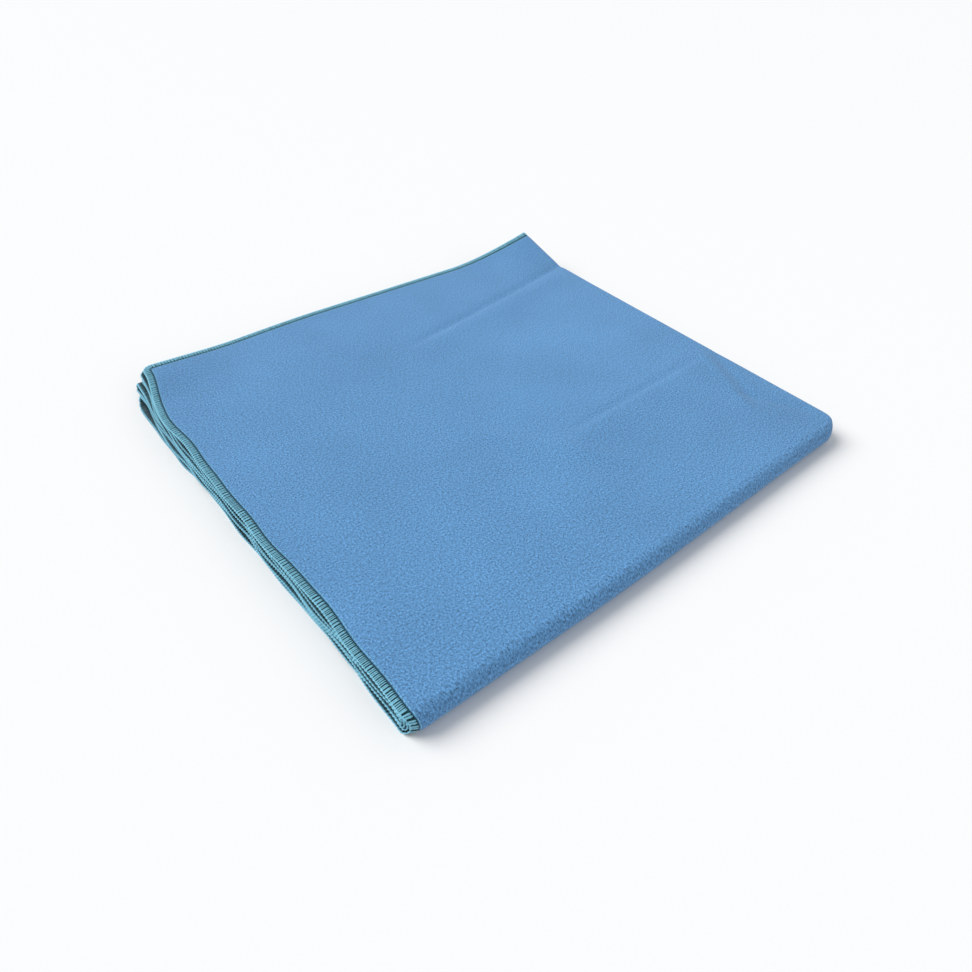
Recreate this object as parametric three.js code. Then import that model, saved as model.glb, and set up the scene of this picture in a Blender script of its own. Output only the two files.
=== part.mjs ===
// A folded beach towel: one panel of suede microfibre with an overlocked edge, folded three times.
// Millimetres, +Z up. X runs along the near fold, Y runs away from it, and the towel lies on Z = 0.
// The frame's origin is the middle of the underside.
//
// The towel is worked out flat first: u runs across its width and v along its length. foldTowel then
// folds that flat sheet in half by its length, in half by its width and in half by its length again,
// which puts eight layers on each other:
//   four layers with free far ends on top, then two pairs that close in a loop at the far side.
// The cut long edges all lie on the left, the second fold is on the right and the third one is near.

import * as THREE from 'three';

// Driving dimensions.
const towelWidth = 800;
const towelLength = 1500;
const clothThickness = 1.2;
const layerPitch = 2.3; // from the middle of one layer to the middle of the next
const flatCornerRadius = 7; // of the four corners of the flat towel
const edgingWidth = 4.4;
const edgingProud = 0.4; // how much thicker than the cloth the edging is, on its inner side
const pieceGap = 0.3; // between the cloth and the edging
const nearCreaseAt = 374; // from a short end to the third fold, along the cloth

// Steps of the mesh round each kind of fold and round a flat corner.
const creaseSteps = 6;
const nearFoldSteps = 8;
const cornerSteps = 3;

const halfWidth = towelWidth / 2;
const halfLength = towelLength / 2;
const halfCloth = clothThickness / 2;
const loopRadius = layerPitch / 2;
const nearFoldRadius = 2 * layerPitch; // of the middle of the stack of four
const pileHeight = 7 * layerPitch + clothThickness;

// Lengths of cloth that each fold takes up.
const sideArc = Math.PI * layerPitch;
const nearArc = Math.PI * nearFoldRadius;

// Places of the straight stretches' ends in the folded towel.
const sideFoldX = halfWidth - sideArc / 2;
const nearFoldY = nearFoldRadius + 1.5 * layerPitch + halfCloth;

// Extent of the folded towel before it settles.
const foldedDepth = nearFoldY + nearCreaseAt - nearArc / 2;

// The way that this towel was laid down. Places are along X from the left and along Y from the near
// fold, before the frame's origin is put in the middle.
const leftFan = {
  reach: 220, // the layers' shift dies out this far from their left edges
  lowestOutNear: 0.4, // how far the lowest layer sticks out at its near end
  lowestOutFar: 10, // and at its far end
  topOut: 5.8, // how far the top layer's edge bows out
  topIn: 10, // and how far it turns in at the far-left corner
  topTurnsFrom: 300,
};
const farFan = {
  reach: 160, // from the left
  from: 200, // from the near fold
  topBack: 7.4, // the layers stop short of the far side, the lowest most
  lowestBack: 29,
  power: 2,
};
const standingLoops = {
  reach: 80, // from the left
  from: 325,
  to: 366,
  lowerOpening: 2.4, // added to the space inside the lower loop
  upperOpening: 0.9,
};
const nearSide = {
  rightRadius: 18, // of the near corners, seen from above
  leftRadius: 10,
  slant: 7, // the right end of the near fold lies this much further back
  slantFrom: 120,
  slantTo: 420,
  slantDepth: 330,
};
const liftedCorner = {
  slope: 0.27,
  from: 305, // along the far side
  power: 1.8,
  creaseY: 321, // of the crease where it starts to rise, at the right-hand side
  creaseSlant: 0.17,
};
const middleSink = 0.08; // the share by which the middle of the pile is lower than its folds
const softWaves = [
  { height: 0.5, lengthX: 47, lengthY: 90 },
  { height: 0.4, lengthX: -120, lengthY: 38 },
];

function clamp01(value) {
  return Math.min(1, Math.max(0, value));
}

// A smooth step from 0 at one place to 1 at another.
function ease(from, to, value) {
  const t = clamp01((value - from) / (to - from));
  return t * t * (3 - 2 * t);
}

// The layers fan out to the left, the lowest furthest; at the far end it stops shortest.
function fanLayers(x, y, rise) {
  const { reach, lowestOutNear, lowestOutFar, topOut, topIn, topTurnsFrom } = leftFan;
  const lowest = -lowestOutNear - (lowestOutFar - lowestOutNear) * ease(0, foldedDepth, y);
  const top = topIn * ease(topTurnsFrom, foldedDepth, y) - topOut * ease(0, topTurnsFrom, y);
  const sideways = (1 - ease(0, reach, x)) * (lowest + (top - lowest) * rise);
  const farShare = ease(farFan.from, foldedDepth, y) * (1 - ease(0, farFan.reach, x));
  const back = farFan.topBack + (farFan.lowestBack - farFan.topBack) * (1 - rise) ** farFan.power;
  return [sideways, -back * farShare];
}

// The near corners are rounded as a square is pulled into a disc.
function roundNearCorners(x, y) {
  const atLeft = x < halfWidth / 2;
  const radius = atLeft ? nearSide.leftRadius : nearSide.rightRadius;
  const fromSide = clamp01(((atLeft ? -x : x - halfWidth) + radius) / radius);
  const fromNear = clamp01((radius - y) / radius);
  const inX = radius * fromSide * (1 - Math.sqrt(1 - fromNear ** 2 / 2));
  const inY = radius * fromNear * (1 - Math.sqrt(1 - fromSide ** 2 / 2));
  return [atLeft ? inX : -inX, inY];
}

// The near fold runs back towards the right.
function slantNearFold(x, y) {
  const { slant, slantFrom, slantTo, slantDepth } = nearSide;
  return slant * ease(slantFrom, slantTo, x) * (1 - ease(0, slantDepth, y));
}

// The middle is a little lower than the folds, with broad soft waves that grow towards the top.
function sinkMiddle(x, y, z, rise) {
  const middle = Math.sin(Math.PI * clamp01(x / halfWidth)) * Math.sin(Math.PI * clamp01(y / foldedDepth));
  const waves = softWaves.map(({ height, lengthX, lengthY }) => height * Math.sin(x / lengthX + y / lengthY));
  return middle * (rise * waves.reduce((sum, wave) => sum + wave, 0) - middleSink * z);
}

// The upper four layers tilt up beyond a slanting crease at the far-right corner.
function liftCorner(x, y, z) {
  const { slope, from, power, creaseY, creaseSlant } = liftedCorner;
  const beyondCrease = Math.max(0, y - creaseY + creaseSlant * (halfWidth - x));
  const steepness = slope * clamp01((x - from) / (halfWidth - from)) ** power;
  const betweenHalves = pileHeight / 2;
  return steepness * beyondCrease * ease(betweenHalves - halfCloth, betweenHalves + halfCloth, z);
}

// Moves a point of the neatly folded towel to where it lies in this one. The underside stays flat.
// openings is how much the open loops raise the pile there.
function settle({ x, y, z }, openings) {
  const rise = clamp01(z / (pileHeight + openings));
  const [fanX, fanY] = fanLayers(x, y, rise);
  const [roundX, roundY] = roundNearCorners(x, y);
  return new THREE.Vector3(
    x + fanX + roundX,
    y + fanY + roundY + slantNearFold(x, y),
    z + sinkMiddle(x, y, z, rise) + liftCorner(x, y, z),
  );
}

// Folds a point of the flat towel. n is its distance from the middle of the cloth, towards the side
// that ends up outside.
function foldTowel(u, v, n) {
  // Second fold, about the line u = halfWidth: turn goes from 0 to a half turn round it.
  const acrossFold = u - halfWidth;
  const turn = Math.PI * clamp01(0.5 + acrossFold / sideArc);
  const flatX = sideFoldX - Math.max(0, Math.abs(acrossFold) - sideArc / 2);

  // First fold, about the line v = halfLength: it joins two neighbouring layers in a loop. The loops
  // stand open at the far-left corner, the lower one more than the upper one.
  const atCorner = 1 - ease(0, standingLoops.reach, flatX);
  const openest = turn > Math.PI / 2 ? standingLoops.lowerOpening : standingLoops.upperOpening;
  const loopArc = Math.PI * (loopRadius + (atCorner * openest) / 2);
  const acrossLoop = v - halfLength;
  const loopTurn = Math.PI * clamp01(0.5 - acrossLoop / loopArc);
  const along = halfLength - loopArc / 2 - Math.max(0, Math.abs(acrossLoop) - loopArc / 2);

  // The openings die out from the loops towards the near fold.
  const onUpperHalf = along < nearCreaseAt;
  const planY = nearFoldY + Math.abs(along - nearCreaseAt) - nearArc / 2;
  const opening = atCorner * ease(standingLoops.from, standingLoops.to, planY);
  const lowerOpening = standingLoops.lowerOpening * opening;
  const upperOpening = standingLoops.upperOpening * opening;
  const ownOpening = onUpperHalf ? 0 : openest * opening;
  const radius = loopRadius + ownOpening / 2 + n;
  const inStack = layerPitch + ownOpening / 2 + radius * Math.cos(loopTurn);
  const height = inStack * Math.cos(turn);
  const x = flatX + inStack * Math.sin(turn);
  const s = along + radius * Math.sin(loopTurn);

  // Third fold, about the line s = nearCreaseAt: the stack of four turns back under itself.
  const nearTurn = Math.PI * clamp01(0.5 + (s - nearCreaseAt) / nearArc);
  const beyond = Math.max(0, Math.abs(s - nearCreaseAt) - nearArc / 2);
  const reach = nearFoldRadius - height;
  const y = nearFoldY + beyond - reach * Math.sin(nearTurn);
  const middleZ = pileHeight / 2 + lowerOpening;
  const z = middleZ + reach * Math.cos(nearTurn) + (onUpperHalf ? upperOpening : 0);
  return settle({ x, y, z }, lowerOpening + upperOpening);
}

// Evenly spaced values from one number to another, both included.
function spread(from, to, steps) {
  return Array.from({ length: steps + 1 }, (_, i) => from + ((to - from) * i) / steps);
}

// Rising values up to a middle, and their mirror images beyond it.
function mirrored(values, middle) {
  const others = values.filter((value) => value !== middle).map((value) => 2 * middle - value);
  return [...values, ...others.reverse()];
}

// Mesh lines of the flat towel between its rounded corners, closer where it bends.
const leftColumns = [20, 42, 70, 110, 175, 240, 300, 335, 365];
const columnLines = mirrored(
  [...leftColumns, ...spread(sideFoldX, halfWidth, creaseSteps / 2)],
  halfWidth,
);
const farRows = [flatCornerRadius, 20, 38, 62, 95, 150, 220, 300];
const nearRows = spread(nearCreaseAt - nearArc / 2, nearCreaseAt, nearFoldSteps / 2);
// The loops are turned over a longer stretch of cloth where they stand open.
const closedLoopStart = halfLength - (Math.PI * loopRadius) / 2;
const openLoopStart = closedLoopStart - (Math.PI * standingLoops.lowerOpening) / 4;
const rowLines = mirrored(
  [
    ...mirrored([...farRows, ...nearRows], nearCreaseAt),
    openLoopStart,
    (openLoopStart + closedLoopStart) / 2,
    ...spread(closedLoopStart, halfLength, creaseSteps / 2),
  ],
  halfLength,
);

// A closed mesh from points and four-sided faces. Each face is four point numbers, and whether it is
// cut along its other diagonal.
function closedMesh(points, quads) {
  const index = [];
  for (const [a, b, c, d, otherDiagonal] of quads) {
    if (otherDiagonal) index.push(a, b, d, b, c, d);
    else index.push(a, b, c, a, c, d);
  }
  const geometry = new THREE.BufferGeometry().setFromPoints(points);
  geometry.setIndex(index);
  geometry.computeVertexNormals();
  return geometry;
}

// The cloth: an outer and an inner face over the same grid of flat points, and a rim between them.
function makeCloth() {
  const inset = edgingWidth + pieceGap;
  const radius = flatCornerRadius - inset;
  const angles = spread(0, Math.PI / 2, cornerSteps);
  const cornerRows = angles.map((angle) => flatCornerRadius - radius * Math.cos(angle));
  const cornerEdges = angles.map((angle) => flatCornerRadius - radius * Math.sin(angle));
  const straightRows = rowLines.slice(1, -1);
  const rows = [...cornerRows, ...straightRows, ...cornerRows.map((v) => towelLength - v).reverse()];
  const edges = [...cornerEdges, ...straightRows.map(() => inset), ...[...cornerEdges].reverse()];

  const across = columnLines.length + 2;
  const faceSize = rows.length * across;
  const points = [];
  for (const n of [halfCloth, -halfCloth]) {
    rows.forEach((v, j) => {
      for (const u of [edges[j], ...columnLines, towelWidth - edges[j]]) points.push(foldTowel(u, v, n));
    });
  }

  const quads = [];
  for (let j = 0; j + 1 < rows.length; j += 1) {
    for (let i = 0; i + 1 < across; i += 1) {
      const a = j * across + i;
      const [b, c, d] = [a + 1, a + across + 1, a + across];
      // Layers that lie on each other are cut along the same diagonal, so that they stay apart.
      const mirror = i < across / 2 - 1 === j < rows.length / 2 - 1;
      quads.push([a, d, c, b, mirror]);
      quads.push([faceSize + a, faceSize + b, faceSize + c, faceSize + d, mirror]);
    }
  }
  const rim = [];
  for (let i = 0; i + 1 < across; i += 1) rim.push(i);
  for (let j = 0; j + 1 < rows.length; j += 1) rim.push(j * across + across - 1);
  for (let i = across - 1; i > 0; i -= 1) rim.push((rows.length - 1) * across + i);
  for (let j = rows.length - 1; j > 0; j -= 1) rim.push(j * across);
  rim.forEach((a, k) => {
    const b = rim[(k + 1) % rim.length];
    quads.push([a, b, faceSize + b, faceSize + a, false]);
  });
  return closedMesh(points, quads);
}

// The overlocked edge: a flat bead carried all the way round the cloth, a gap outside its cut edge.
function makeEdging() {
  const bevel = 0.5;
  const outer = halfCloth;
  const inner = -halfCloth - edgingProud;
  const section = [
    [edgingWidth, outer],
    [bevel, outer],
    [0, outer - bevel],
    [0, inner + bevel],
    [bevel, inner],
    [edgingWidth, inner],
  ];

  // Stations round the flat towel: a centre, and the way out from it to the edge.
  const [left, right] = [flatCornerRadius, towelWidth - flatCornerRadius];
  const [start, end] = [flatCornerRadius, towelLength - flatCornerRadius];
  const stations = [];
  const corner = (u, v, from) => {
    for (const angle of spread(from, from + Math.PI / 2, cornerSteps)) {
      stations.push({ u, v, outU: Math.cos(angle), outV: Math.sin(angle) });
    }
  };
  const straightRows = rowLines.slice(1, -1);
  corner(left, start, Math.PI);
  for (const u of columnLines) stations.push({ u, v: start, outU: 0, outV: -1 });
  corner(right, start, -Math.PI / 2);
  for (const v of straightRows) stations.push({ u: right, v, outU: 1, outV: 0 });
  corner(right, end, 0);
  for (const u of [...columnLines].reverse()) stations.push({ u, v: end, outU: 0, outV: 1 });
  corner(left, end, Math.PI / 2);
  for (const v of [...straightRows].reverse()) stations.push({ u: left, v, outU: -1, outV: 0 });

  const points = stations.flatMap(({ u, v, outU, outV }) =>
    section.map(([inset, n]) => {
      const reach = flatCornerRadius - inset;
      return foldTowel(u + reach * outU, v + reach * outV, n);
    }),
  );
  const quads = [];
  stations.forEach((_, j) => {
    const next = (j + 1) % stations.length;
    section.forEach((__, i) => {
      const beside = (i + 1) % section.length;
      const [a, b] = [j * section.length + i, j * section.length + beside];
      const [c, d] = [next * section.length + beside, next * section.length + i];
      quads.push([a, d, c, b, false]);
    });
  });
  return closedMesh(points, quads);
}

const suede = new THREE.MeshStandardMaterial({ color: 0x5f93c8, roughness: 0.95, metalness: 0 });
const overlock = new THREE.MeshStandardMaterial({ color: 0x5fb4c4, roughness: 0.85, metalness: 0 });

const cloth = new THREE.Mesh(makeCloth(), suede);
cloth.name = 'towel_cloth';
const edging = new THREE.Mesh(makeEdging(), overlock);
edging.name = 'overlock_edging';

const towel = new THREE.Group();
towel.add(cloth, edging);
const box = new THREE.Box3().setFromObject(towel);
towel.position.set(-(box.min.x + box.max.x) / 2, -(box.min.y + box.max.y) / 2, 0);

export default towel;
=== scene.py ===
# A folded beach towel of suede microfibre with an overlocked edge, lying on a pale floor.
# Metres, +Z up. The towel is worked out flat and then folded: u runs across its width, v along its
# length, and n from the middle of the cloth towards the side that ends up outside.

import math

import bpy
import numpy as np
from mathutils import Matrix, Vector


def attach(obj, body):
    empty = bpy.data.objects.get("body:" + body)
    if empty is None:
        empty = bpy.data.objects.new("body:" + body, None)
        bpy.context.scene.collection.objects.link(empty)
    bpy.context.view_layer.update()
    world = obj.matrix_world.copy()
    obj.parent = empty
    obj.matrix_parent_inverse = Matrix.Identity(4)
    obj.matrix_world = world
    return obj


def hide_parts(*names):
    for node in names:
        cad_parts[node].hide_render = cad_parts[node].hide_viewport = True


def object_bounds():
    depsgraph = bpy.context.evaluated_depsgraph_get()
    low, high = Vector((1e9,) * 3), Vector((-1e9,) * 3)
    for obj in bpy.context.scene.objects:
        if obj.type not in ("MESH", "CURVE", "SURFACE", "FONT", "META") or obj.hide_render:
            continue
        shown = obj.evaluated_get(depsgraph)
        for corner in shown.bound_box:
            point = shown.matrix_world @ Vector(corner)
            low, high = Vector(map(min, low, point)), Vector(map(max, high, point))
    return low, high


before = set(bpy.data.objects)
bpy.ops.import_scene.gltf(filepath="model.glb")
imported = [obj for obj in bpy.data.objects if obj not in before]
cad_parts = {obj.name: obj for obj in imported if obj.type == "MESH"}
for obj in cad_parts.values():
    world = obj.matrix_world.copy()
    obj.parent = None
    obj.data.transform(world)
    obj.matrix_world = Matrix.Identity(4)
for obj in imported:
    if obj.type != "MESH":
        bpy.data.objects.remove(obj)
cadLow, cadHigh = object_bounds()
print("frame loaded")

# The folded shape. Plan places here are measured from the near-left corner of the folded towel.

towel = {
    "width": 0.800,
    "length": 1.500,
    "thickness": 0.0012,
    "layerPitch": 0.0023,  # from the middle of one layer to the middle of the next
    "cornerRadius": 0.007,  # of the four corners of the flat towel
    "nearCreaseAt": 0.374,  # from a short end to the third fold, along the cloth
}
halfWidth = towel["width"] / 2
halfLength = towel["length"] / 2
halfCloth = towel["thickness"] / 2
layerPitch = towel["layerPitch"]
loopRadius = layerPitch / 2
nearFoldRadius = 2 * layerPitch  # of the middle of the stack of four
pileHeight = 7 * layerPitch + towel["thickness"]
sideArc = math.pi * layerPitch  # lengths of cloth that the folds take up
nearArc = math.pi * nearFoldRadius
sideFoldX = halfWidth - sideArc / 2
nearFoldY = nearFoldRadius + 1.5 * layerPitch + halfCloth
foldedDepth = nearFoldY + towel["nearCreaseAt"] - nearArc / 2

leftFan = {
    "reach": 0.220,  # the layers' shift dies out this far from their left edges
    "lowestOutNear": 0.0004,  # how far the lowest layer sticks out at its near end
    "lowestOutFar": 0.0100,
    "topOut": 0.0058,  # how far the top layer's edge bows out
    "topIn": 0.0100,  # and how far it turns in at the far-left corner
    "topTurnsFrom": 0.300,
}
farFan = {
    "reach": 0.160,
    "from": 0.200,
    "topBack": 0.0074,  # how far short of the far side the top layer stops at the left
    "lowestBack": 0.0290,
    "power": 2.0,  # above 1, the lowest layers stop much shorter than the rest
}
standingLoops = {
    "reach": 0.080,  # the loops close this far from the left side
    "from": 0.325,  # how far back the layers begin to part, and where they are fully parted
    "to": 0.366,
    "lowerOpening": 0.0024,
    "upperOpening": 0.0009,
}
nearSide = {
    "rightRadius": 0.018,  # of the near corners, seen from above
    "leftRadius": 0.010,
    "slant": 0.007,  # how far back the near fold runs at the right
    "slantFrom": 0.120,
    "slantTo": 0.420,
    "slantDepth": 0.330,
}
liftedCorner = {
    "slope": 0.27,  # at the right-hand side
    "from": 0.305,
    "power": 1.8,
    "creaseY": 0.321,
    "creaseSlant": 0.17,
    "creaseSoftness": 0.005,
}
middleSink = 0.08  # as a share of the height
softWaves = [(0.0005, 0.047, 0.090), (0.0004, -0.120, 0.038)]  # height, lengths in X and Y for one radian

# Soft troughs (below zero) and ridges in the upper layers: two ends, half widths on the right-hand and
# the left-hand side of the way from one to the other, and height.
creases = [
    {"ends": ((0.208, 0.1185), (0.392, 0.1250)), "widths": (0.0024, 0.0050), "height": -0.00130},
    {"ends": ((0.180, 0.1110), (0.400, 0.1190)), "widths": (0.0200, 0.0160), "height": 0.00150},
    {"ends": ((0.180, 0.2785), (0.430, 0.3250)), "widths": (0.0024, 0.0052), "height": -0.00140},
    {"ends": ((0.190, 0.2710), (0.412, 0.3090)), "widths": (0.0140, 0.0070), "height": 0.00120},
    {"ends": ((0.160, 0.1700), (0.242, 0.0600)), "widths": (0.0070, 0.0070), "height": 0.00100},
    {"ends": ((0.176, 0.1420), (0.207, 0.0400)), "widths": (0.0060, 0.0060), "height": 0.00090},
    {"ends": ((0.391, 0.1360), (0.350, 0.0460)), "widths": (0.0044, 0.0060), "height": 0.00100},
    {"ends": ((0.400, 0.1320), (0.361, 0.0440)), "widths": (0.0060, 0.0046), "height": -0.00080},
    {"ends": ((0.362, 0.0800), (0.392, 0.0180)), "widths": (0.0044, 0.0056), "height": -0.00080},
]
creaseFade = 0.20  # the share of a crease's length over which each end dies out
creaseDepth = 2  # the power by which the creases die out down through the pile

# The cut edges wander a little in their own plane: height, wave length, and phase in radians, which is
# taken three times on the second side.
edgeWander = {
    "reach": 0.110,
    "waves": [(0.0008, 0.161, 0.4), (0.0005, 0.083, 2.1), (0.0003, 0.047, 4.4)],
}


def clamp01(value):
    # The value, held between 0 and 1.
    return np.clip(value, 0, 1)


def ease(start, end, value):
    # A smooth step from 0 at start to 1 at end.
    share = clamp01((value - start) / (end - start))
    return share * share * (3 - 2 * share)


def softRamp(value, softness):
    # Nothing below 0 and the value itself above, with the bend between them rounded.
    return (value + np.sqrt(value ** 2 + softness ** 2)) / 2


def fanLayers(x, y, rise):
    # The layers fan out to the left, the lowest furthest; at the far end it stops shortest.
    low = leftFan["lowestOutNear"]
    lowest = -low - (leftFan["lowestOutFar"] - low) * ease(0, foldedDepth, y)
    top = leftFan["topIn"] * ease(leftFan["topTurnsFrom"], foldedDepth, y)
    top = top - leftFan["topOut"] * ease(0, leftFan["topTurnsFrom"], y)
    sideways = (1 - ease(0, leftFan["reach"], x)) * (lowest + (top - lowest) * rise)
    farShare = ease(farFan["from"], foldedDepth, y) * (1 - ease(0, farFan["reach"], x))
    back = farFan["topBack"] + (farFan["lowestBack"] - farFan["topBack"]) * (1 - rise) ** farFan["power"]
    return sideways, -back * farShare


def roundNearCorners(x, y):
    # The near corners are rounded as a square is pulled into a disc.
    atLeft = x < halfWidth / 2
    radius = np.where(atLeft, nearSide["leftRadius"], nearSide["rightRadius"])
    fromSide = clamp01((np.where(atLeft, -x, x - halfWidth) + radius) / radius)
    fromNear = clamp01((radius - y) / radius)
    inX = radius * fromSide * (1 - np.sqrt(1 - fromNear ** 2 / 2))
    inY = radius * fromNear * (1 - np.sqrt(1 - fromSide ** 2 / 2))
    return np.where(atLeft, inX, -inX), inY


def slantNearFold(x, y):
    # The near fold runs back towards the right.
    across = ease(nearSide["slantFrom"], nearSide["slantTo"], x)
    return nearSide["slant"] * across * (1 - ease(0, nearSide["slantDepth"], y))


def sinkMiddle(x, y, z, rise):
    # The middle is lower than the folds, with broad sine waves that grow towards the top.
    middle = np.sin(math.pi * clamp01(x / halfWidth)) * np.sin(math.pi * clamp01(y / foldedDepth))
    waves = sum(height * np.sin(x / alongX + y / alongY) for height, alongX, alongY in softWaves)
    return middle * (rise * waves - middleSink * z)


def liftCorner(x, y, z):
    # The upper four layers tilt up beyond a slanting crease at the far-right corner.
    lift = liftedCorner
    beyond = softRamp(y - lift["creaseY"] + lift["creaseSlant"] * (halfWidth - x), lift["creaseSoftness"])
    steepness = lift["slope"] * clamp01((x - lift["from"]) / (halfWidth - lift["from"])) ** lift["power"]
    between = pileHeight / 2
    return steepness * beyond * ease(between - halfCloth, between + halfCloth, z)


def pressCreases(x, y, rise):
    # Each crease is a bell-shaped profile across its line, and fades in and out along it.
    total = 0
    for crease in creases:
        (startX, startY), (endX, endY) = crease["ends"]
        length = math.hypot(endX - startX, endY - startY)
        alongX, alongY = (endX - startX) / length, (endY - startY) / length
        share = ((x - startX) * alongX + (y - startY) * alongY) / length
        across = (y - startY) * alongX - (x - startX) * alongY
        fade = ease(0, creaseFade, share) * (1 - ease(1 - creaseFade, 1, share))
        width = np.where(across > 0, crease["widths"][1], crease["widths"][0])
        total = total + crease["height"] * fade * np.exp(-((across / width) ** 2))
    return total * rise ** creaseDepth


def settle(x, y, z, openings):
    # Moves a point of the neatly folded towel to where it lies in this one.
    rise = clamp01(z / (pileHeight + openings))
    fanX, fanY = fanLayers(x, y, rise)
    roundX, roundY = roundNearCorners(x, y)
    height = z + sinkMiddle(x, y, z, rise) + liftCorner(x, y, z) + pressCreases(x, y, rise)
    atFloor = 0.0001  # how softly the heights stop at the floor
    return x + fanX + roundX, y + fanY + roundY + slantNearFold(x, y), softRamp(height, atFloor)


def wander(u, v):
    # Near the long cut edges the cloth shifts sideways by a few sine waves, not alike on both sides.
    side = np.sign(u - halfWidth)
    nearEdge = 1 - ease(0, edgeWander["reach"], halfWidth - np.abs(u - halfWidth))
    waves = sum(
        height * np.sin(2 * math.pi * v / length + turn * (2 + side))
        for height, length, turn in edgeWander["waves"]
    )
    return u + nearEdge * waves, v


def foldTowel(u, v, n):
    # Folds points of the flat towel three times, each fold a half circle between straight stretches.
    u, v = wander(u, v)

    # Second fold, about the line u = halfWidth.
    acrossFold = u - halfWidth
    turn = math.pi * clamp01(0.5 + acrossFold / sideArc)
    flatX = sideFoldX - np.maximum(0, np.abs(acrossFold) - sideArc / 2)

    # First fold, about the line v = halfLength: it joins two neighbouring layers in a loop. The loops
    # stand open at the far-left corner, the lower one more than the upper one.
    atCorner = 1 - ease(0, standingLoops["reach"], flatX)
    openest = np.where(turn > math.pi / 2, standingLoops["lowerOpening"], standingLoops["upperOpening"])
    loopArc = math.pi * (loopRadius + atCorner * openest / 2)
    acrossLoop = v - halfLength
    loopTurn = math.pi * clamp01(0.5 - acrossLoop / loopArc)
    along = halfLength - loopArc / 2 - np.maximum(0, np.abs(acrossLoop) - loopArc / 2)

    # The openings die out from the loops towards the near fold.
    onUpperHalf = along < towel["nearCreaseAt"]
    planY = nearFoldY + np.abs(along - towel["nearCreaseAt"]) - nearArc / 2
    opening = atCorner * ease(standingLoops["from"], standingLoops["to"], planY)
    lowerOpening = standingLoops["lowerOpening"] * opening
    upperOpening = standingLoops["upperOpening"] * opening
    ownOpening = np.where(onUpperHalf, 0, openest * opening)
    radius = loopRadius + ownOpening / 2 + n
    inStack = layerPitch + ownOpening / 2 + radius * np.cos(loopTurn)
    height = inStack * np.cos(turn)
    x = flatX + inStack * np.sin(turn)
    s = along + radius * np.sin(loopTurn)

    # Third fold, about the line s = nearCreaseAt: the stack of four turns back under itself.
    nearTurn = math.pi * clamp01(0.5 + (s - towel["nearCreaseAt"]) / nearArc)
    beyond = np.maximum(0, np.abs(s - towel["nearCreaseAt"]) - nearArc / 2)
    reach = nearFoldRadius - height
    y = nearFoldY + beyond - reach * np.sin(nearTurn)
    z = pileHeight / 2 + lowerOpening + reach * np.cos(nearTurn) + np.where(onUpperHalf, upperOpening, 0)
    return np.stack(settle(x, y, z, lowerOpening + upperOpening), axis=-1)


def findPlace():
    # The folded sheet's right and far sides lie where those of the design do.
    spacing = 0.002
    across = np.linspace(0, towel["width"], round(towel["width"] / spacing) + 1)
    along = np.linspace(0, towel["length"], round(towel["length"] / spacing) + 1)
    u, v = np.meshgrid(across, along)
    highest = foldTowel(u, v, halfCloth).reshape(-1, 3).max(0)
    return np.array([cadHigh.x - highest[0], cadHigh.y - highest[1], 0])


place = findPlace()
print("near-left corner at", np.round(place, 5))

# The camera.

viewpoint = {
    "place": (-0.0918, -0.1491, 0.3358),  # from the near-left corner of the folded towel
    "yaw": 41.15,  # degrees, from +Y towards +X
    "pitch": 42.66,  # degrees below the horizon
    "roll": 3.38,
    "lens": 26.49,
    "clipStart": 0.01,
}


def placeCamera():
    # The view direction comes from yaw and pitch; its level and upright axes are then rolled about it.
    yaw, pitch, roll = (math.radians(viewpoint[name]) for name in ("yaw", "pitch", "roll"))
    forward = np.array([
        math.cos(pitch) * math.sin(yaw),
        math.cos(pitch) * math.cos(yaw),
        -math.sin(pitch),
    ])
    level = np.array([math.cos(yaw), -math.sin(yaw), 0])
    upright = np.cross(level, forward)
    right = level * math.cos(roll) + upright * math.sin(roll)
    up = upright * math.cos(roll) - level * math.sin(roll)
    camera = bpy.data.objects.new("camera", bpy.data.cameras.new("camera"))
    camera.data.lens = viewpoint["lens"]
    camera.data.clip_start = viewpoint["clipStart"]
    camera.matrix_world = Matrix.Translation(place + np.array(viewpoint["place"])) @ Matrix((
        (right[0], up[0], -forward[0], 0),
        (right[1], up[1], -forward[1], 0),
        (right[2], up[2], -forward[2], 0),
        (0, 0, 0, 1),
    ))
    bpy.context.collection.objects.link(camera)
    bpy.context.scene.camera = camera


placeCamera()

# Meshes.


def outward(points, quads):
    # The signed volume under all faces is negative where they point inwards; then they are reversed.
    a, b, c, d = (points[quads[:, i]] for i in range(4))
    volume = (a * np.cross(b, c)).sum() + (a * np.cross(c, d)).sum()
    return quads if volume > 0 else quads[:, ::-1]


def addPiece(name, points, quads, uv, uvName, shade, material):
    # A closed skin of quads, with a UV place and a shade for each point.
    quads = outward(points, quads)
    mesh = bpy.data.meshes.new(name)
    mesh.vertices.add(len(points))
    mesh.vertices.foreach_set("co", points.astype(np.float32).ravel())
    mesh.loops.add(quads.size)
    mesh.loops.foreach_set("vertex_index", quads.astype(np.int32).ravel())
    mesh.polygons.add(len(quads))
    mesh.polygons.foreach_set("loop_start", np.arange(0, quads.size, 4, dtype=np.int32))
    mesh.update(calc_edges=True)
    mesh.shade_smooth()
    layer = mesh.uv_layers.new(name=uvName)
    layer.data.foreach_set("uv", uv[quads.ravel()].astype(np.float32).ravel())
    values = mesh.attributes.new("shade", "FLOAT", "POINT")
    values.data.foreach_set("value", shade.astype(np.float32))
    mesh.materials.append(material)
    piece = bpy.data.objects.new(name, mesh)
    bpy.context.collection.objects.link(piece)
    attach(piece, "root")
    print(name, len(quads) * 2, "triangles")
    return piece


# Materials.


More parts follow.
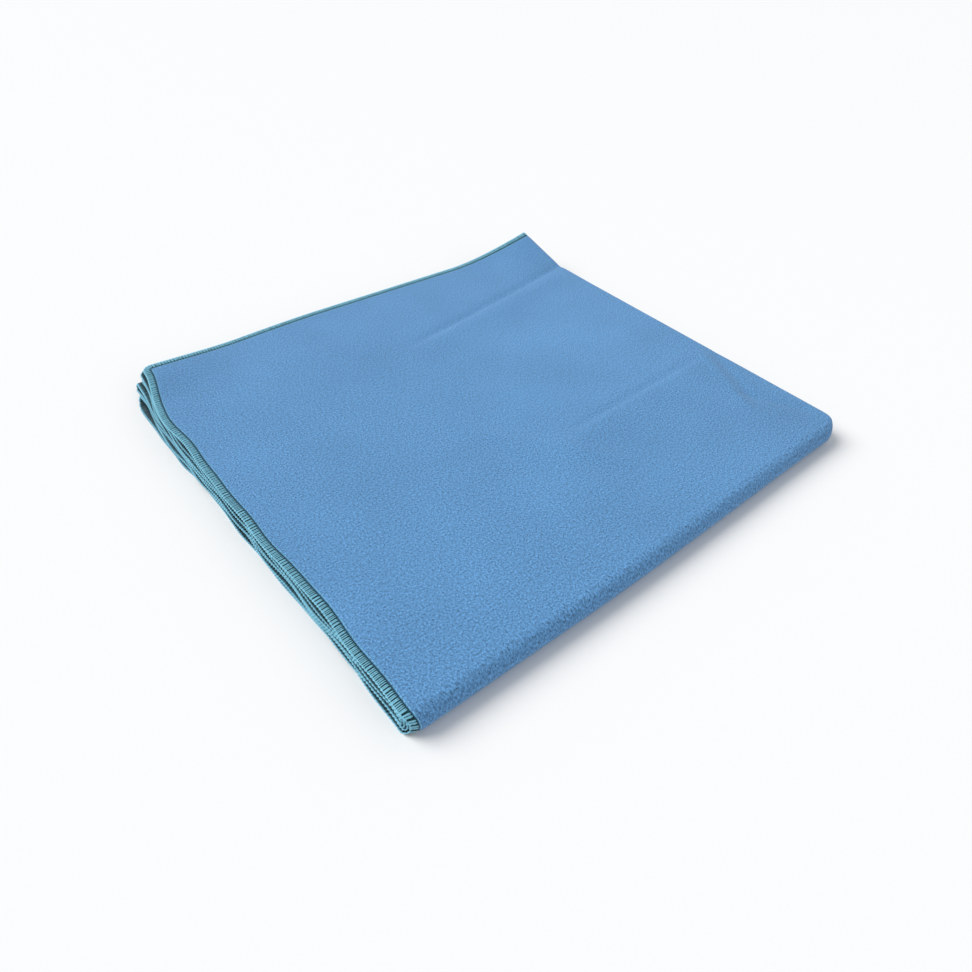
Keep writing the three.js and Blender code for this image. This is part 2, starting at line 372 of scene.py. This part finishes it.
def newGroup(name, inputs, outputs):
    group = bpy.data.node_groups.new(name, "ShaderNodeTree")
    for label, kind, value in inputs:
        socket = group.interface.new_socket(name=label, in_out="INPUT", socket_type="NodeSocket" + kind)
        if value is not None:
            socket.default_value = value
    for label, kind in outputs:
        group.interface.new_socket(name=label, in_out="OUTPUT", socket_type="NodeSocket" + kind)
    return group, group.nodes.new("NodeGroupInput"), group.nodes.new("NodeGroupOutput")


def mathNode(tree, operation, first, second=None, third=None):
    node = tree.nodes.new("ShaderNodeMath")
    node.operation = operation
    for socket, value in zip(node.inputs, (first, second, third)):
        if isinstance(value, bpy.types.NodeSocket):
            tree.links.new(value, socket)
        elif value is not None:
            socket.default_value = value
    return node.outputs[0]


def noiseNode(tree, vector, scale, noise):
    node = tree.nodes.new("ShaderNodeTexNoise")
    tree.links.new(vector, node.inputs["Vector"])
    tree.links.new(scale, node.inputs["Scale"])
    node.inputs["Detail"].default_value = noise["detail"]
    node.inputs["Roughness"].default_value = noise["roughness"]
    return node.outputs["Fac"]


# Each noise's number of finer octaves and their strength.
fibreNoise = {"detail": 3, "roughness": 0.65}
tuftNoise = {"detail": 4, "roughness": 0.70, "scaleShare": 0.55}  # tufts are coarser than fibres
patchNoise = {"detail": 2, "roughness": 0.50}


def makeFibreGrain():
    # The mean of two noises: fibres, drawn out along one direction, and round tufts. Shade is 1 plus
    # the mean's distance from a half times Contrast; Height is the mean itself.
    group, given, result = newGroup(
        "fibre grain",
        [
            ("Vector", "Vector", None),
            ("Turn", "Float", 0.0),
            ("Scale", "Float", 700.0),
            ("Stretch", "Float", 3.0),
            ("Contrast", "Float", 0.2),
        ],
        [("Shade", "Float"), ("Height", "Float")],
    )
    rotate = group.nodes.new("ShaderNodeVectorRotate")
    rotate.rotation_type = "Z_AXIS"
    group.links.new(given.outputs["Vector"], rotate.inputs["Vector"])
    group.links.new(given.outputs["Turn"], rotate.inputs["Angle"])
    across = group.nodes.new("ShaderNodeCombineXYZ")
    group.links.new(given.outputs["Stretch"], across.inputs["X"])
    across.inputs["Y"].default_value = 1
    across.inputs["Z"].default_value = 1
    stretched = group.nodes.new("ShaderNodeVectorMath")
    stretched.operation = "MULTIPLY"
    group.links.new(rotate.outputs[0], stretched.inputs[0])
    group.links.new(across.outputs[0], stretched.inputs[1])
    fibres = noiseNode(group, stretched.outputs[0], given.outputs["Scale"], fibreNoise)
    tuftScale = mathNode(group, "MULTIPLY", given.outputs["Scale"], tuftNoise["scaleShare"])
    tufts = noiseNode(group, given.outputs["Vector"], tuftScale, tuftNoise)
    both = mathNode(group, "MULTIPLY", mathNode(group, "ADD", fibres, tufts), 0.5)
    spread = mathNode(group, "SUBTRACT", both, 0.5)
    shade = mathNode(group, "MULTIPLY_ADD", spread, given.outputs["Contrast"], 1)
    group.links.new(shade, result.inputs["Shade"])
    group.links.new(both, result.inputs["Height"])
    return group


def makeDyeVariation():
    # Color times Shade and a factor that drifts about 1 over soft patches; Amount is the drift's share.
    group, given, result = newGroup(
        "dye variation",
        [
            ("Vector", "Vector", None),
            ("Color", "Color", (1, 1, 1, 1)),
            ("Scale", "Float", 20.0),
            ("Amount", "Float", 0.1),
            ("Shade", "Float", 1.0),
        ],
        [("Color", "Color")],
    )
    patches = noiseNode(group, given.outputs["Vector"], given.outputs["Scale"], patchNoise)
    centred = mathNode(group, "SUBTRACT", patches, 0.5)
    drift = mathNode(group, "MULTIPLY_ADD", centred, given.outputs["Amount"], 1)
    factor = mathNode(group, "MULTIPLY", drift, given.outputs["Shade"])
    tint = group.nodes.new("ShaderNodeVectorMath")
    tint.operation = "SCALE"
    group.links.new(given.outputs["Color"], tint.inputs[0])
    group.links.new(factor, tint.inputs["Scale"])
    group.links.new(tint.outputs[0], result.inputs["Color"])
    return group


fibreGrain = makeFibreGrain()
dyeVariation = makeDyeVariation()


def addGroup(tree, group, vector, **values):
    node = tree.nodes.new("ShaderNodeGroup")
    node.node_tree = group
    tree.links.new(vector, node.inputs["Vector"])
    for label, value in values.items():
        if isinstance(value, bpy.types.NodeSocket):
            tree.links.new(value, node.inputs[label])
        else:
            node.inputs[label].default_value = value
    return node


def newMaterial(name, uvName, finish):
    # A cloth-like shader, with the piece's own UV map for its patterns.
    material = bpy.data.materials.new(name)
    material.use_nodes = True
    tree = material.node_tree
    shader = tree.nodes["Principled BSDF"]
    shader.inputs["Roughness"].default_value = finish["roughness"]
    shader.inputs["Sheen Weight"].default_value = finish["sheen"]
    shader.inputs["Sheen Roughness"].default_value = finish["sheenRoughness"]
    shader.inputs["Specular IOR Level"].default_value = finish["specular"]
    uvMap = tree.nodes.new("ShaderNodeUVMap")
    uvMap.uv_map = uvName
    return material, tree, shader, uvMap.outputs[0]


def addBump(tree, shader, height, distance):
    bump = tree.nodes.new("ShaderNodeBump")
    bump.inputs["Distance"].default_value = distance
    tree.links.new(height, bump.inputs["Height"])
    tree.links.new(bump.outputs[0], shader.inputs["Normal"])


def ownAttribute(tree, name):
    node = tree.nodes.new("ShaderNodeAttribute")
    node.attribute_name = name
    return node.outputs["Fac"]


suede = {
    "color": (0.101, 0.262, 0.496, 1),
    # The dark colour under the threads is painted shade, standing in for the shadow in the gaps between
    # them.
    "underThreads": (0.004, 0.040, 0.050, 1),
    "roughness": 0.92,
    "sheen": 0.14,
    "sheenRoughness": 0.5,
    "specular": 0.25,
    "grainScale": 1500.0,  # per metre
    "grainStretch": 2.6,
    "grainContrast": 6.6,
    "streakTurn": math.radians(-15),
    "patchScale": 16.0,
    "patchAmount": 0.24,
    "bumpDepth": 0.00009,
}

# Painted light and shade: soft lighter and darker patches on top.
paintedShadingMarks = [
    {"middle": (0.374, 0.070), "reach": (0.022, 0.050), "tone": -0.09},
    {"middle": (0.385, 0.026), "reach": (0.030, 0.020), "tone": -0.05},
    {"middle": (0.295, 0.225), "reach": (0.065, 0.055), "tone": 0.05},
    {"middle": (0.270, 0.072), "reach": (0.035, 0.022), "tone": -0.04},
]


def paintedShadingTone(places):
    # Painted light and shade: about 1, with a bell-shaped lighter or darker mark round each middle.
    tone = 1
    for mark in paintedShadingMarks:
        (x, y), (reachX, reachY) = mark["middle"], mark["reach"]
        away = ((places[:, 0] - x) / reachX) ** 2 + ((places[:, 1] - y) / reachY) ** 2
        tone = tone + mark["tone"] * np.exp(-away)
    return tone


def makeSuede():
    # Brushed microfibre: fibre grain in colour and height, soft patches, painted light and shade in
    # lighter and darker patches on top, and painted shade under the threads, where their gaps lie in
    # shadow.
    material, tree, shader, uv = newMaterial("suede_microfibre", "flat", suede)
    grain = addGroup(
        tree, fibreGrain, uv, Turn=suede["streakTurn"], Scale=suede["grainScale"],
        Stretch=suede["grainStretch"], Contrast=suede["grainContrast"],
    )
    mix = tree.nodes.new("ShaderNodeMix")
    mix.data_type = "RGBA"
    # Painted shade: the mask mixes in the dark colour under the threads, where their gaps lie in shadow.
    mix.inputs[6].default_value = suede["color"]  # inputs 6 and 7 and output 2 carry the colours
    mix.inputs[7].default_value = suede["underThreads"]
    tree.links.new(ownAttribute(tree, "shade"), mix.inputs[0])
    # The grain's shade times the painted light and shade of the marks on top.
    shade = mathNode(tree, "MULTIPLY", grain.outputs["Shade"], ownAttribute(tree, "paintedShading"))
    dye = addGroup(
        tree, dyeVariation, uv, Color=mix.outputs[2], Scale=suede["patchScale"],
        Amount=suede["patchAmount"], Shade=shade,
    )
    tree.links.new(dye.outputs["Color"], shader.inputs["Base Color"])
    addBump(tree, shader, grain.outputs["Height"], suede["bumpDepth"])
    return material


thread = {
    "color": (0.232, 0.575, 0.745, 1),
    "roughness": 0.62,
    "sheen": 0.06,
    "sheenRoughness": 0.4,
    "specular": 0.25,
    "grainScale": 1500.0,
    "grainStretch": 0.2,
    "grainContrast": 0.3,
    "patchScale": 400.0,
    "patchAmount": 0.2,
    "bumpDepth": 0.00006,
    "twist": 0.0011,  # metres of thread for one turn of its plies
    "plies": 2,
    "twistContrast": 0.70,
    "stitchContrast": 0.22,
    "paintedShadeDepth": 4.1,  # painted shade between the layers, where the light hardly reaches
    "paintedUnderShade": 0.9,  # the share of the painted shade on the inner side
    "paintedShadeFrom": -0.0001,  # insets between which the painted shade sets in
    "darkTo": 0.0008,
}


def makeThread():
    # Twisted yarn: the plies are a sine of the place along the thread and round it.
    material, tree, shader, uv = newMaterial("overlock_yarn", "strand", thread)
    split = tree.nodes.new("ShaderNodeSeparateXYZ")
    tree.links.new(uv, split.inputs[0])
    fullTurn = 2 * math.pi * thread["plies"]
    alongTurns = mathNode(tree, "MULTIPLY", split.outputs["X"], fullTurn / thread["twist"])
    roundTurns = mathNode(tree, "MULTIPLY", split.outputs["Y"], fullTurn)
    plies = mathNode(tree, "SINE", mathNode(tree, "ADD", alongTurns, roundTurns))
    grain = addGroup(
        tree, fibreGrain, uv, Scale=thread["grainScale"], Stretch=thread["grainStretch"],
        Contrast=thread["grainContrast"],
    )
    twistShade = mathNode(tree, "MULTIPLY_ADD", plies, thread["twistContrast"] / 2, grain.outputs["Shade"])
    # The shade attribute holds each stitch's random tone, less the painted shade between the layers.
    stitchShift = mathNode(tree, "SUBTRACT", ownAttribute(tree, "shade"), 0.5)
    stitchShade = mathNode(tree, "MULTIPLY_ADD", stitchShift, thread["stitchContrast"], twistShade)
    dye = addGroup(
        tree, dyeVariation, uv, Color=thread["color"], Scale=thread["patchScale"],
        Amount=thread["patchAmount"], Shade=stitchShade,
    )
    tree.links.new(dye.outputs["Color"], shader.inputs["Base Color"])
    addBump(tree, shader, plies, thread["bumpDepth"])
    return material


suedeMaterial = makeSuede()
threadMaterial = makeThread()
print("materials made")

# The cloth.

sheetMesh = {
    "edgeInset": 0.0004,  # the cut edge lies just inside the threads that wrap it
    "bandWidth": 0.0044,
    "underThreads": 0.00026,  # half the cloth's thickness where the threads squeeze it
    "swellFrom": 0.0050,
    "swellTo": 0.0075,
    "paintedClothShadeFrom": 0.0049,  # the painted shade under the threads ends between these insets
    "paintedClothShadeTo": 0.0053,
    # Close mesh lines along the cut edges: the inset at which a stretch ends, and its steps.
    "edgeStretches": [(0.0046, 4), (0.0056, 3), (0.0090, 4), (0.0160, 2)],
    "sideMargin": 0.002,  # how far the close lines run on past the side fold
    "nearMargin": 0.004,  # past the near fold, in the two middle layers of the stack
    "outerMargin": 0.006,  # and in its two outer layers
    "loopMargin": 0.006,  # how far they reach on each side of the loops' fold
    "fanned": 0.120,  # the columns change their spacing this far from both cut sides
    "creased": 0.450,  # and are close from here on, where the creases are
}


def clothHalf(inset):
    # Half the cloth's thickness: squeezed under the threads, full further in.
    squeezed = sheetMesh["underThreads"]
    return squeezed + (halfCloth - squeezed) * ease(sheetMesh["swellFrom"], sheetMesh["swellTo"], inset)


def evenSteps(start, stretches):
    # Lines in stretches of even steps, each stretch given as its end and its number of steps.
    lines = [np.array([start])]
    for end, steps in stretches:
        lines.append(np.linspace(lines[-1][-1], end, steps + 1)[1:])
    return np.concatenate(lines)


def gridLines(size, stretches):
    # Mesh lines from one cut edge to the other, with the same close lines along both.
    closeLines = evenSteps(sheetMesh["edgeInset"], sheetMesh["edgeStretches"])
    between = evenSteps(closeLines[-1], stretches)
    return np.concatenate([closeLines[:-1], between, size - closeLines[-2::-1]])


def roundCorners(u, v):
    # In the corner squares, rings of equal inset are pulled from squares into circles.
    radius = towel["cornerRadius"]
    a = clamp01((radius - (halfWidth - np.abs(u - halfWidth))) / radius)
    b = clamp01((radius - (halfLength - np.abs(v - halfLength))) / radius)
    least = 1e-9  # keeps the division away from zero
    pull = radius * (1 - np.maximum(a, b) / np.maximum(np.hypot(a, b), least))
    both = (a > 0) & (b > 0)
    inward = np.where(both, pull, 0)
    return u - np.sign(u - halfWidth) * inward * a, v - np.sign(v - halfLength) * inward * b


def makeCloth():
    # Two faces over one grid of flat points, half a thickness out and in, with a rim between them.
    width, length, crease = towel["width"], towel["length"], towel["nearCreaseAt"]
    farCrease = length - crease
    sideFold = sideFoldX - sheetMesh["sideMargin"]
    nearHalf = nearArc / 2 + sheetMesh["nearMargin"]
    outerHalf = nearArc / 2 + sheetMesh["outerMargin"]
    loopHalf = sheetMesh["loopMargin"]
    edge = sheetMesh["edgeStretches"][-1][0]
    columns = gridLines(width, [
        (sheetMesh["fanned"], 10),
        (sideFold, 10),
        (width - sideFold, 12),
        (sheetMesh["creased"], 20),
        (width - sheetMesh["fanned"], 44),
        (width - edge, 22),
    ])
    rows = gridLines(length, [
        (crease - nearHalf, 30),
        (crease + nearHalf, 14),
        (halfLength - loopHalf, 30),
        (halfLength + loopHalf, 16),
        (farCrease - outerHalf, 36),
        (farCrease + outerHalf, 24),
        (length - edge, 150),  # the top layer, with its creases
    ])
    u, v = np.meshgrid(columns, rows)
    inset = np.minimum(halfWidth - np.abs(u - halfWidth), halfLength - np.abs(v - halfLength))
    u, v = roundCorners(u, v)
    half = clothHalf(inset)
    points = np.concatenate([foldTowel(u, v, side * half).reshape(-1, 3) for side in (1, -1)]) + place

    index = np.arange(u.size).reshape(u.shape)
    a, b, c, d = index[:-1, :-1], index[:-1, 1:], index[1:, 1:], index[1:, :-1]
    outer = np.stack([a, d, c, b], axis=-1).reshape(-1, 4)
    inner = np.stack([a, b, c, d], axis=-1).reshape(-1, 4) + u.size
    rim = np.concatenate([index[0, :-1], index[:-1, -1], index[-1, :0:-1], index[:0:-1, 0]])
    beside = np.roll(rim, -1)
    rimQuads = np.stack([rim, beside, beside + u.size, rim + u.size], axis=-1)
    quads = np.concatenate([outer, inner, rimQuads])

    uv = np.tile(np.stack([u.ravel(), v.ravel()], axis=-1), (2, 1))
    # Painted shade: 1 under the threads, where the gaps between them lie in shadow, and 0 further in.
    paintedShadeMask = 1 - ease(sheetMesh["paintedClothShadeFrom"], sheetMesh["paintedClothShadeTo"], np.tile(inset.ravel(), 2))
    sheet = addPiece("towel_sheet", points, quads, uv, "flat", paintedShadeMask, suedeMaterial)
    # Painted light and shade: a tone for each point from the marks on top.
    paintedShading = sheet.data.attributes.new("paintedShading", "FLOAT", "POINT")
    paintedShading.data.foreach_set("value", paintedShadingTone(points - place).astype(np.float32))
    return sheet


cloth = makeCloth()
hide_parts("towel_cloth")

# The overlocked edge. Places on it are the distance along the towel's outline, the inset and n.

overlock = {
    "stitch": 0.0024,
    "yarnWide": 0.00040,  # half widths of a looper thread where it lies on the cloth
    "yarnThick": 0.00024,
    "wrapHeight": 0.00050,  # from the middle of the cloth to the middle of a looper thread
    "apart": 0.185,  # half the distance between a stitch's two threads at the needle, in stitches
    "apartAtEdge": 0.20,
    "slant": 0.12,  # how far a thread leans on its way in, in stitches
    "dive": 0.5,  # the share of its height that a thread loses where it enters the cloth
    "diveFrom": 0.80,  # as a share of the band's width
    "jitter": 0.05,  # in stitches
    "taper": 0.6,  # of a thread's ends
    "plyShift": 0.37,  # how far the twist is shifted from one thread to the next, in stitches
    "sides": 6,  # of a thread's cross-section, an even number
    "arcRings": 5,
    "straightRings": 3,
    "chainWide": 0.00038,
    "chainSwell": 0.38,  # the share by which the chain swells and thins
    "chainSway": 0.00010,  # in and out
    "chainSwing": 0.00014,  # up and down
    "chainRings": 5,
    "needleInset": 0.0058,
    "needleShare": 0.78,  # a stitch's length, as a share of the distance between stitches
    "needleWide": 0.00022,
    "needleBow": 0.9,  # how high a stitch lies in its middle, in half widths
    "needleSink": 1.6,  # how far its ends go down from there
    "needleRings": 4,
    "seed": 11,
}
cornerArc = math.pi * towel["cornerRadius"] / 2
straightWidth = towel["width"] - 2 * towel["cornerRadius"]
straightLength = towel["length"] - 2 * towel["cornerRadius"]
outlineStops = np.cumsum([0] + [straightWidth, cornerArc, straightLength, cornerArc] * 2)
outline = outlineStops[-1]
stitchCount = round(outline / overlock["stitch"])
stitch = outline / stitchCount
random = np.random.default_rng(overlock["seed"])


def onOutline(along, inset):
    # The outline's centre runs round a smaller rectangle and waits at its corners while the way out turns.
    radius, width, length = towel["cornerRadius"], towel["width"], towel["length"]
    near, far, left, right = radius, length - radius, radius, width - radius
    along = np.mod(along, outline)
    u = np.interp(along, outlineStops, [left, right, right, right, right, left, left, left, left])
    v = np.interp(along, outlineStops, [near, near, near, far, far, far, far, near, near])
    heading = np.radians(np.interp(along, outlineStops, [-90, -90, 0, 0, 90, 90, 180, 180, 270]))
    return u + (radius - inset) * np.cos(heading), v + (radius - inset) * np.sin(heading)


def sweepTubes(paths, wide, thick, sideAxis, closed=False):
    # Carries an ellipse along each path: thread, ring and (along, inset, n). Returns points, quads, uv.
    count, rings, _ = paths.shape
    sides = overlock["sides"]
    if closed:
        tangent = np.roll(paths, -1, axis=1) - np.roll(paths, 1, axis=1)
        tangent[..., 0] = np.abs(tangent[..., 0])
        tangent[:, [0, -1], 0] = tangent[:, 1:2, 0]
    else:
        tangent = np.gradient(paths, axis=1)
    tangent = tangent / np.linalg.norm(tangent, axis=-1, keepdims=True)
    lift = np.cross(tangent, np.array(sideAxis))
    lift = lift / np.linalg.norm(lift, axis=-1, keepdims=True)
    side = np.cross(lift, tangent)
    angle = 2 * math.pi * np.arange(sides) / sides
    ring = (
        (wide[..., None] * np.cos(angle))[..., None] * side[:, :, None]
        + (thick[..., None] * np.sin(angle))[..., None] * lift[:, :, None]
    )
    spots = paths[:, :, None] + ring
    u, v = onOutline(spots[..., 0], spots[..., 1])
    points = foldTowel(u, v, spots[..., 2]).reshape(-1, 3) + place

    index = np.arange(count * rings * sides).reshape(count, rings, sides)
    after = np.roll(index, -1, axis=1) if closed else index[:, 1:]
    start = index if closed else index[:, :-1]
    beside = np.roll(start, -1, axis=2)
    besideAfter = np.roll(after, -1, axis=2)
    quads = [np.stack([start, beside, besideAfter, after], axis=-1).reshape(-1, 4)]
    if not closed:  # each end gets quads that share its first corner
        for end, order in ((index[:, 0], 1), (index[:, -1], -1)):
            for corner in range(1, sides - 1, 2):
                quads.append(end[:, [0, corner + 2, corner + 1, corner]][:, ::order])

    step = np.linalg.norm(np.diff(paths, axis=1, prepend=paths[:, :1]), axis=-1)
    distance = np.cumsum(step, axis=1) + overlock["plyShift"] * stitch * np.arange(count)[:, None]
    uv = np.stack(np.broadcast_arrays(distance[..., None], angle / (2 * math.pi)), axis=-1).reshape(-1, 2)
    return points, np.concatenate(quads), uv


def paintedShadeBetweenLayers(paths):
    # Painted shade for the threads: 0 at the cut edge and on the topmost layer, 1 further in where another
    # layer lies close by and shades them. The inner side gets painted shade as well.
    u, v = onOutline(paths[..., 0], paths[..., 1])
    farCrease = towel["length"] - towel["nearCreaseAt"]
    topmost = (u > halfWidth) * (paths[..., 2] > 0) * ease(farCrease - nearArc / 2, farCrease, v)
    dark = ease(thread["paintedShadeFrom"], thread["darkTo"], paths[..., 1]) * (1 - topmost)
    paintedUnder = thread["paintedUnderShade"] * clamp01(-paths[..., 2] / overlock["wrapHeight"])
    return np.repeat(np.maximum(dark, paintedUnder).ravel(), overlock["sides"])


def addThreads(name, paths, wide, thick, sideAxis, closed=False):
    points, quads, uv = sweepTubes(paths, wide, thick, sideAxis, closed)
    perThread = len(points) // len(paths)
    shade = np.repeat(random.random(len(paths)), perThread)
    # Painted shade: each thread's random tone is darkened where the layers lie close and on the inner
    # side.
    shade = shade - thread["paintedShadeDepth"] * paintedShadeBetweenLayers(paths)
    piece = addPiece(name, points, quads, uv, "strand", shade, threadMaterial)
    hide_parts("overlock_edging")
    return piece


def wrapPaths(first, last):
    # Each looper thread runs from the needle line over the cut edge and back below: straight, half
    # circle, straight. A stitch has two, which part and lean on their way to the edge.
    height, inner = overlock["wrapHeight"], sheetMesh["bandWidth"]
    straight = inner - height
    arc = math.pi * height / 2
    arcWay = np.linspace(-arc, arc, overlock["arcRings"])
    topWay = arc + np.linspace(0, straight, overlock["straightRings"] + 1)[1:]
    way = np.concatenate([-topWay[::-1], arcWay, topWay])
    bend = np.clip(way / height, -math.pi / 2, math.pi / 2)
    inset = height - height * np.cos(bend) + np.maximum(0, np.abs(way) - arc)
    inShare = clamp01(inset / inner)
    dive = overlock["dive"] * ease(overlock["diveFrom"], 1, inShare)
    n = height * np.sin(bend) * (1 - dive)
    part = overlock["apart"] + (overlock["apartAtEdge"] - overlock["apart"]) * (1 - inShare)
    lean = overlock["slant"] * np.sin(bend) * inShare
    places = (np.arange(first, last) + 0.5)[:, None, None]
    jitter = overlock["jitter"] * random.standard_normal((last - first, 2, 1))
    along = places + np.array([-1, 1])[:, None] * part + lean + jitter
    shape = along.shape
    paths = np.stack([
        along * stitch,
        np.broadcast_to(inset, shape),
        np.broadcast_to(n, shape),
    ], axis=-1)
    return paths.reshape(-1, len(way), 3)


def makeWraps(name, first, last):
    paths = wrapPaths(first, last)
    taper = np.ones(paths.shape[:2])
    taper[:, [0, -1]] = overlock["taper"]
    return addThreads(name, paths, overlock["yarnWide"] * taper, overlock["yarnThick"] * taper, (1, 0, 0))


def makeChain():
    # The loopers lock along the cut edge: a rope that swings round an ellipse, thins and swells once a
    # stitch.
    rings = stitchCount * overlock["chainRings"]
    phase = np.arange(rings) / overlock["chainRings"]
    turn = 2 * math.pi * phase
    paths = np.stack([
        phase * stitch,
        overlock["chainSway"] * (np.cos(turn) - 1),
        overlock["chainSwing"] * np.sin(turn),
    ], axis=-1)[None]
    swell = overlock["chainWide"] * (1 - overlock["chainSwell"] * np.cos(turn))[None]
    return addThreads("edge_chain", paths, swell, swell, (0, 1, 0), closed=True)


def makeNeedleSeam():
    # Short straight stitches on the outer side. Each falls away from its middle with the cube of the
    # distance, so that its ends are sunk in the cloth.
    way = np.linspace(-0.5, 0.5, overlock["needleRings"]) * overlock["needleShare"]
    places = (np.arange(stitchCount) + 0.5)[:, None]
    along = (places + way) * stitch
    surface = clothHalf(overlock["needleInset"])
    fromMiddle = np.abs(way / overlock["needleShare"] * 2)
    bow = overlock["needleWide"] * (overlock["needleBow"] - overlock["needleSink"] * fromMiddle ** 3)
    paths = np.stack([
        along,
        np.full(along.shape, overlock["needleInset"]),
        np.broadcast_to(surface + bow, along.shape),
    ], axis=-1)
    wide = np.full(along.shape, overlock["needleWide"])
    return addThreads("needle_seam", paths, wide, wide, (0, 1, 0))


def makeOverlock():
    # The wraps are four pieces that meet in the middles of the towel's corners.
    cuts = np.cumsum([-cornerArc / 2] + [straightWidth + cornerArc, straightLength + cornerArc] * 2)
    starts = [round(cut / stitch) for cut in cuts]
    names = ["wraps_first_end", "wraps_right_side", "wraps_last_end", "wraps_left_side"]
    wraps = [makeWraps(name, first, last) for name, first, last in zip(names, starts, starts[1:])]
    return wraps + [makeChain(), makeNeedleSeam()]


threads = makeOverlock()

# The floor and the light.

studio = {
    "floorColor": (0.86, 0.86, 0.86, 1),
    "floorRoughness": 0.9,
    "floorSpecular": 0.1,
    "floorSize": 12.0,
    "skyColor": (0.93, 0.96, 1.0, 1),
    "skyStrength": 0.50,
}
# Broad suns: the way towards each, how wide its disc is in degrees, and its strength.
lamps = [
    {
        "name": "back_left",
        "towards": (-2.6, 3.4, 4.2),
        "width": 42,
        "power": 2.75,
        "color": (1, 0.99, 0.97),
    },
    {
        "name": "front_fill",
        "towards": (0.6, -1.8, 1.2),
        "width": 50,
        "power": 0.32,
        "color": (0.9, 0.95, 1),
    },
]


def makeFloor():
    half = studio["floorSize"] / 2
    corners = [(-half, -half, 0), (half, -half, 0), (half, half, 0), (-half, half, 0)]
    mesh = bpy.data.meshes.new("floor")
    mesh.from_pydata(corners, [], [(0, 1, 2, 3)])
    material = bpy.data.materials.new("pale_floor")
    material.use_nodes = True
    shader = material.node_tree.nodes["Principled BSDF"]
    shader.inputs["Base Color"].default_value = studio["floorColor"]
    shader.inputs["Roughness"].default_value = studio["floorRoughness"]
    shader.inputs["Specular IOR Level"].default_value = studio["floorSpecular"]
    mesh.materials.append(material)
    floor = bpy.data.objects.new("floor", mesh)
    bpy.context.collection.objects.link(floor)


def makeLights():
    scene = bpy.context.scene
    scene.world = bpy.data.worlds.new("studio")
    scene.world.use_nodes = True
    background = scene.world.node_tree.nodes["Background"]
    background.inputs["Color"].default_value = studio["skyColor"]
    background.inputs["Strength"].default_value = studio["skyStrength"]
    for lamp in lamps:
        data = bpy.data.lights.new(lamp["name"], "SUN")
        data.angle = math.radians(lamp["width"])
        data.energy = lamp["power"]
        data.color = lamp["color"]
        light = bpy.data.objects.new(lamp["name"], data)
        light.rotation_mode = "QUATERNION"
        light.rotation_quaternion = Vector(lamp["towards"]).to_track_quat("Z", "Y")
        bpy.context.collection.objects.link(light)
    scene.view_settings.view_transform = "Standard"


makeFloor()
makeLights()
print("floor and lights made")
